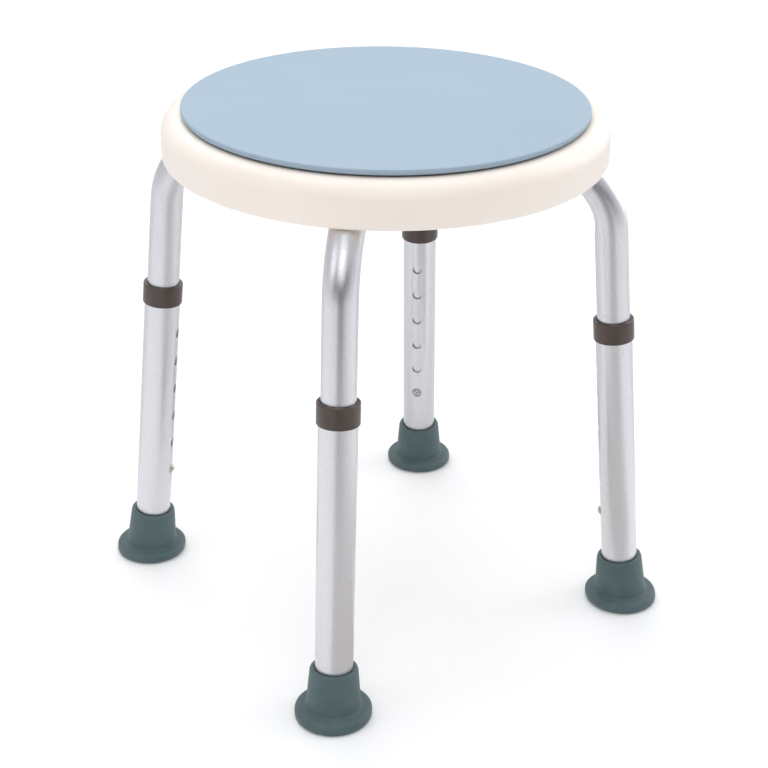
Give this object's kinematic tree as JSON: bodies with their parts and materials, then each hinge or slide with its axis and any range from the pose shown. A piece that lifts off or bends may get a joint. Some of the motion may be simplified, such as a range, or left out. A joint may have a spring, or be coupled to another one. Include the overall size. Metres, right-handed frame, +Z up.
{
  "type": "shower stool",
  "caption": "Round shower stool with a turning disc on a moulded seat, bent tube frame, telescopic legs with snap buttons, and flanged rubber feet.",
  "frame": {"origin": "on the floor under the middle of the seat, with the legs at their lowest setting", "axes": "+Z up; the legs stand on the diagonals between X and Y"},
  "size_m": [0.3368, 0.3368, 0.405],
  "materials": {
    "disc": "fine matte moulded ABS, pale blue-grey",
    "seat": "satin moulded polyethylene, warm white",
    "tube": "satin anodised drawn tube",
    "fastener": "nickel-plated steel",
    "spring": "bare spring strip",
    "collar": "satin dark brown-grey nylon",
    "foot": "matte grey-green rubber",
    "glide": "smooth acetal"
  },
  "bodies": {
    "frame": {"seat_base": "seat", "glide_ring": "glide", "frame_tube_lower": "tube", "frame_tube_upper": "tube", "frame_bolt": "fastener", "frame_washer": "fastener", "frame_nut": "fastener", "seat_screw_front_left": "fastener", "seat_screw_front_right": "fastener", "seat_screw_rear_right": "fastener", "seat_screw_rear_left": "fastener", "spring_clip_front_left": "spring", "spring_clip_front_right": "spring", "spring_clip_rear_right": "spring", "spring_clip_rear_left": "spring"},
    "disc": {"swivel_disc": "disc", "pivot_screw": "fastener", "pivot_washer": "fastener"},
    "leg_front_left": {"leg_tube_front_left": "tube", "collar_front_left": "collar", "foot_front_left": "foot", "foot_washer_front_left": "fastener"},
    "button_front_left": {"snap_button_front_left": "fastener"},
    "leg_front_right": {"leg_tube_front_right": "tube", "collar_front_right": "collar", "foot_front_right": "foot", "foot_washer_front_right": "fastener"},
    "button_front_right": {"snap_button_front_right": "fastener"},
    "leg_rear_right": {"leg_tube_rear_right": "tube", "collar_rear_right": "collar", "foot_rear_right": "foot", "foot_washer_rear_right": "fastener"},
    "button_rear_right": {"snap_button_rear_right": "fastener"},
    "leg_rear_left": {"leg_tube_rear_left": "tube", "collar_rear_left": "collar", "foot_rear_left": "foot", "foot_washer_rear_left": "fastener"},
    "button_rear_left": {"snap_button_rear_left": "fastener"}
  },
  "joints": [
    {"name": "disc_swivel", "type": "hinge", "parent": "frame", "child": "disc", "pos_m": [0, 0, 0.4], "axis": [0, 0, 1], "continuous": true},
    {"name": "leg_height_front_left", "type": "slide", "parent": "frame", "child": "leg_front_left", "axis": [-0.0629, -0.0629, -0.996], "range_m": [0, 0.125], "deforming": ["snap_button_front_left"]},
    {"name": "button_press_front_left", "type": "slide", "parent": "frame", "child": "button_front_left", "axis": [-0.7043, -0.7043, 0.0889], "range_m": [0, 0.0045], "stiffness_N_per_m": 2500, "springref_m": -0.002, "deforming": ["spring_clip_front_left"]},
    {"name": "leg_height_front_right", "type": "slide", "parent": "frame", "child": "leg_front_right", "axis": [0.0629, -0.0629, -0.996], "range_m": [0, 0.125], "deforming": ["snap_button_front_right"]},
    {"name": "button_press_front_right", "type": "slide", "parent": "frame", "child": "button_front_right", "axis": [0.7043, -0.7043, 0.0889], "range_m": [0, 0.0045], "stiffness_N_per_m": 2500, "springref_m": -0.002, "deforming": ["spring_clip_front_right"]},
    {"name": "leg_height_rear_right", "type": "slide", "parent": "frame", "child": "leg_rear_right", "axis": [0.0629, 0.0629, -0.996], "range_m": [0, 0.125], "deforming": ["snap_button_rear_right"]},
    {"name": "button_press_rear_right", "type": "slide", "parent": "frame", "child": "button_rear_right", "axis": [0.7043, 0.7043, 0.0889], "range_m": [0, 0.0045], "stiffness_N_per_m": 2500, "springref_m": -0.002, "deforming": ["spring_clip_rear_right"]},
    {"name": "leg_height_rear_left", "type": "slide", "parent": "frame", "child": "leg_rear_left", "axis": [-0.0629, 0.0629, -0.996], "range_m": [0, 0.125], "deforming": ["snap_button_rear_left"]},
    {"name": "button_press_rear_left", "type": "slide", "parent": "frame", "child": "button_rear_left", "axis": [-0.7043, 0.7043, 0.0889], "range_m": [0, 0.0045], "stiffness_N_per_m": 2500, "springref_m": -0.002, "deforming": ["spring_clip_rear_left"]}
  ]
}
